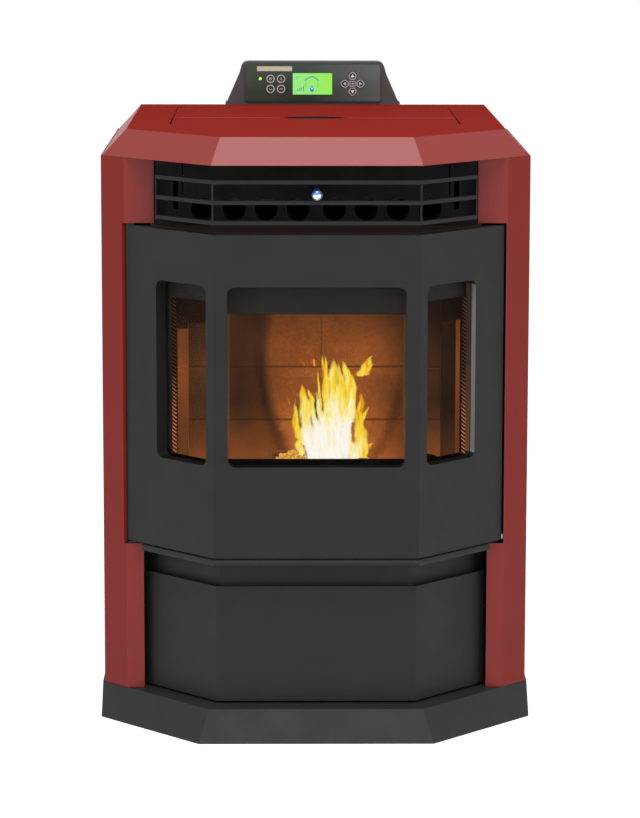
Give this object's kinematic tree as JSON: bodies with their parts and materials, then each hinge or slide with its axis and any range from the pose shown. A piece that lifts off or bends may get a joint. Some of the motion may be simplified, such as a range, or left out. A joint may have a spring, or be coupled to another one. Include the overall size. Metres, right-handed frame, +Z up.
{
  "type": "pellet stove",
  "caption": "Free-standing wood pellet stove with a three-sided glazed door, red enamel casing, top hopper lid, rear control panel and ash drawer.",
  "frame": {"origin": "centre of the footprint, on the floor", "axes": "+X to the viewer's right, +Y from the glass front to the rear, +Z up"},
  "size_m": [0.63, 0.74, 0.932],
  "materials": {
    "red_enamel": "deep red semi-gloss enamel",
    "black_steel": "satin black heat-resistant paint",
    "dark_steel": "matt black heat-resistant paint",
    "raw_steel": "bare sheet steel",
    "chrome_knob": "polished",
    "ceramic_glass": "clear glass-ceramic, slightly smoked",
    "firebrick": "rough buff refractory",
    "cast_iron": "dull grey-black casting",
    "black_plastic": "fine-grained black moulding",
    "gloss_black": "gloss black sheet",
    "key_plastic": "satin dark grey",
    "display": "lit green display",
    "lit_green": "lit green lens",
    "rope": "woven glass-fibre rope"
  },
  "bodies": {
    "casing": {"side_panel_left": "red_enamel", "side_panel_right": "red_enamel", "top_cap": "red_enamel", "base_skirt": "black_steel", "grille_louvre": "black_steel", "firebox_shell": "black_steel", "door_hinge_upper": "black_steel", "door_hinge_lower": "black_steel", "ash_lip": "black_steel", "rear_panel": "dark_steel", "tube_plate": "dark_steel", "heat_exchanger": "dark_steel", "auger_motor": "dark_steel", "combustion_motor": "dark_steel", "lid_hinge_pin": "raw_steel", "baffle_plate": "raw_steel", "igniter": "raw_steel", "catch_bracket": "raw_steel", "drawer_rails": "raw_steel", "hopper": "raw_steel", "hopper_guard": "raw_steel", "auger_tube": "raw_steel", "convection_housing": "raw_steel", "combustion_housing": "raw_steel", "exhaust_pipe": "raw_steel", "air_intake_pipe": "raw_steel", "brick_liner": "firebrick", "burn_pot_seat": "cast_iron", "burn_pot": "cast_iron", "finger_scoop": "black_plastic", "control_housing": "black_plastic", "power_inlet": "black_plastic", "control_fascia": "gloss_black", "lcd_screen": "display", "status_led": "lit_green"},
    "door": {"door_frame": "black_steel", "glass_centre": "ceramic_glass", "glass_right": "ceramic_glass", "glass_left": "ceramic_glass", "glass_retainer": "black_steel", "door_gasket": "rope", "door_pull_tab": "raw_steel"},
    "lid": {"hopper_lid": "red_enamel"},
    "drawer": {"ash_drawer_front": "black_steel", "ash_pan": "dark_steel"},
    "scraper": {"scraper_plate": "raw_steel", "scraper_knob": "chrome_knob"},
    "catch_roller": {"catch_roller": "raw_steel"},
    "auger_screw": {"auger_screw": "raw_steel"},
    "convection_wheel": {"convection_wheel": "raw_steel"},
    "combustion_wheel": {"combustion_wheel": "raw_steel"},
    "key_round_1": {"key_round_1": "key_plastic"},
    "key_round_2": {"key_round_2": "key_plastic"},
    "key_round_3": {"key_round_3": "key_plastic"},
    "key_round_4": {"key_round_4": "key_plastic"},
    "key_pad_up": {"key_pad_up": "key_plastic"},
    "key_pad_left": {"key_pad_left": "key_plastic"},
    "key_pad_down": {"key_pad_down": "key_plastic"},
    "key_pad_right": {"key_pad_right": "key_plastic"},
    "key_pad_centre": {"key_pad_centre": "key_plastic"}
  },
  "joints": [
    {"name": "door_hinge", "type": "hinge", "parent": "casing", "child": "door", "pos_m": [-0.2679, -0.21, 0.496], "axis": [0, 0, -1], "range_deg": [0, 95]},
    {"name": "lid_hinge", "type": "hinge", "parent": "casing", "child": "lid", "pos_m": [0, 0.244, 0.858], "axis": [-1, 0, 0], "range_deg": [0, 100]},
    {"name": "drawer_slide", "type": "slide", "parent": "casing", "child": "drawer", "axis": [0, -1, 0], "range_m": [0, 0.17]},
    {"name": "scraper_slide", "type": "slide", "parent": "casing", "child": "scraper", "axis": [0, -1, 0], "range_m": [0, 0.19]},
    {"name": "catch_roller_spin", "type": "hinge", "parent": "casing", "child": "catch_roller", "pos_m": [0.268, -0.1924, 0.5], "axis": [0, 0, 1], "continuous": true},
    {"name": "auger_spin", "type": "hinge", "parent": "casing", "child": "auger_screw", "pos_m": [0, 0.21, 0.19], "axis": [0, -0.6345, 0.7729], "continuous": true},
    {"name": "convection_spin", "type": "hinge", "parent": "casing", "child": "convection_wheel", "pos_m": [-0.2325, 0.18, 0.165], "axis": [1, 0, 0], "continuous": true},
    {"name": "combustion_spin", "type": "hinge", "parent": "casing", "child": "combustion_wheel", "pos_m": [0.17, 0.091, 0.33], "axis": [0, 1, 0], "continuous": true},
    {"name": "key_round_1_press", "type": "slide", "parent": "casing", "child": "key_round_1", "axis": [0, 1, 0], "range_m": [0, 0.0008], "stiffness_N_per_m": 400, "springref_m": -0.001},
    {"name": "key_round_2_press", "type": "slide", "parent": "casing", "child": "key_round_2", "axis": [0, 1, 0], "range_m": [0, 0.0008], "stiffness_N_per_m": 400, "springref_m": -0.001},
    {"name": "key_round_3_press", "type": "slide", "parent": "casing", "child": "key_round_3", "axis": [0, 1, 0], "range_m": [0, 0.0008], "stiffness_N_per_m": 400, "springref_m": -0.001},
    {"name": "key_round_4_press", "type": "slide", "parent": "casing", "child": "key_round_4", "axis": [0, 1, 0], "range_m": [0, 0.0008], "stiffness_N_per_m": 400, "springref_m": -0.001},
    {"name": "key_pad_up_press", "type": "slide", "parent": "casing", "child": "key_pad_up", "axis": [0, 1, 0], "range_m": [0, 0.0008], "stiffness_N_per_m": 400, "springref_m": -0.001},
    {"name": "key_pad_left_press", "type": "slide", "parent": "casing", "child": "key_pad_left", "axis": [0, 1, 0], "range_m": [0, 0.0008], "stiffness_N_per_m": 400, "springref_m": -0.001},
    {"name": "key_pad_down_press", "type": "slide", "parent": "casing", "child": "key_pad_down", "axis": [0, 1, 0], "range_m": [0, 0.0008], "stiffness_N_per_m": 400, "springref_m": -0.001},
    {"name": "key_pad_right_press", "type": "slide", "parent": "casing", "child": "key_pad_right", "axis": [0, 1, 0], "range_m": [0, 0.0008], "stiffness_N_per_m": 400, "springref_m": -0.001},
    {"name": "key_pad_centre_press", "type": "slide", "parent": "casing", "child": "key_pad_centre", "axis": [0, 1, 0], "range_m": [0, 0.0008], "stiffness_N_per_m": 400, "springref_m": -0.001}
  ]
}
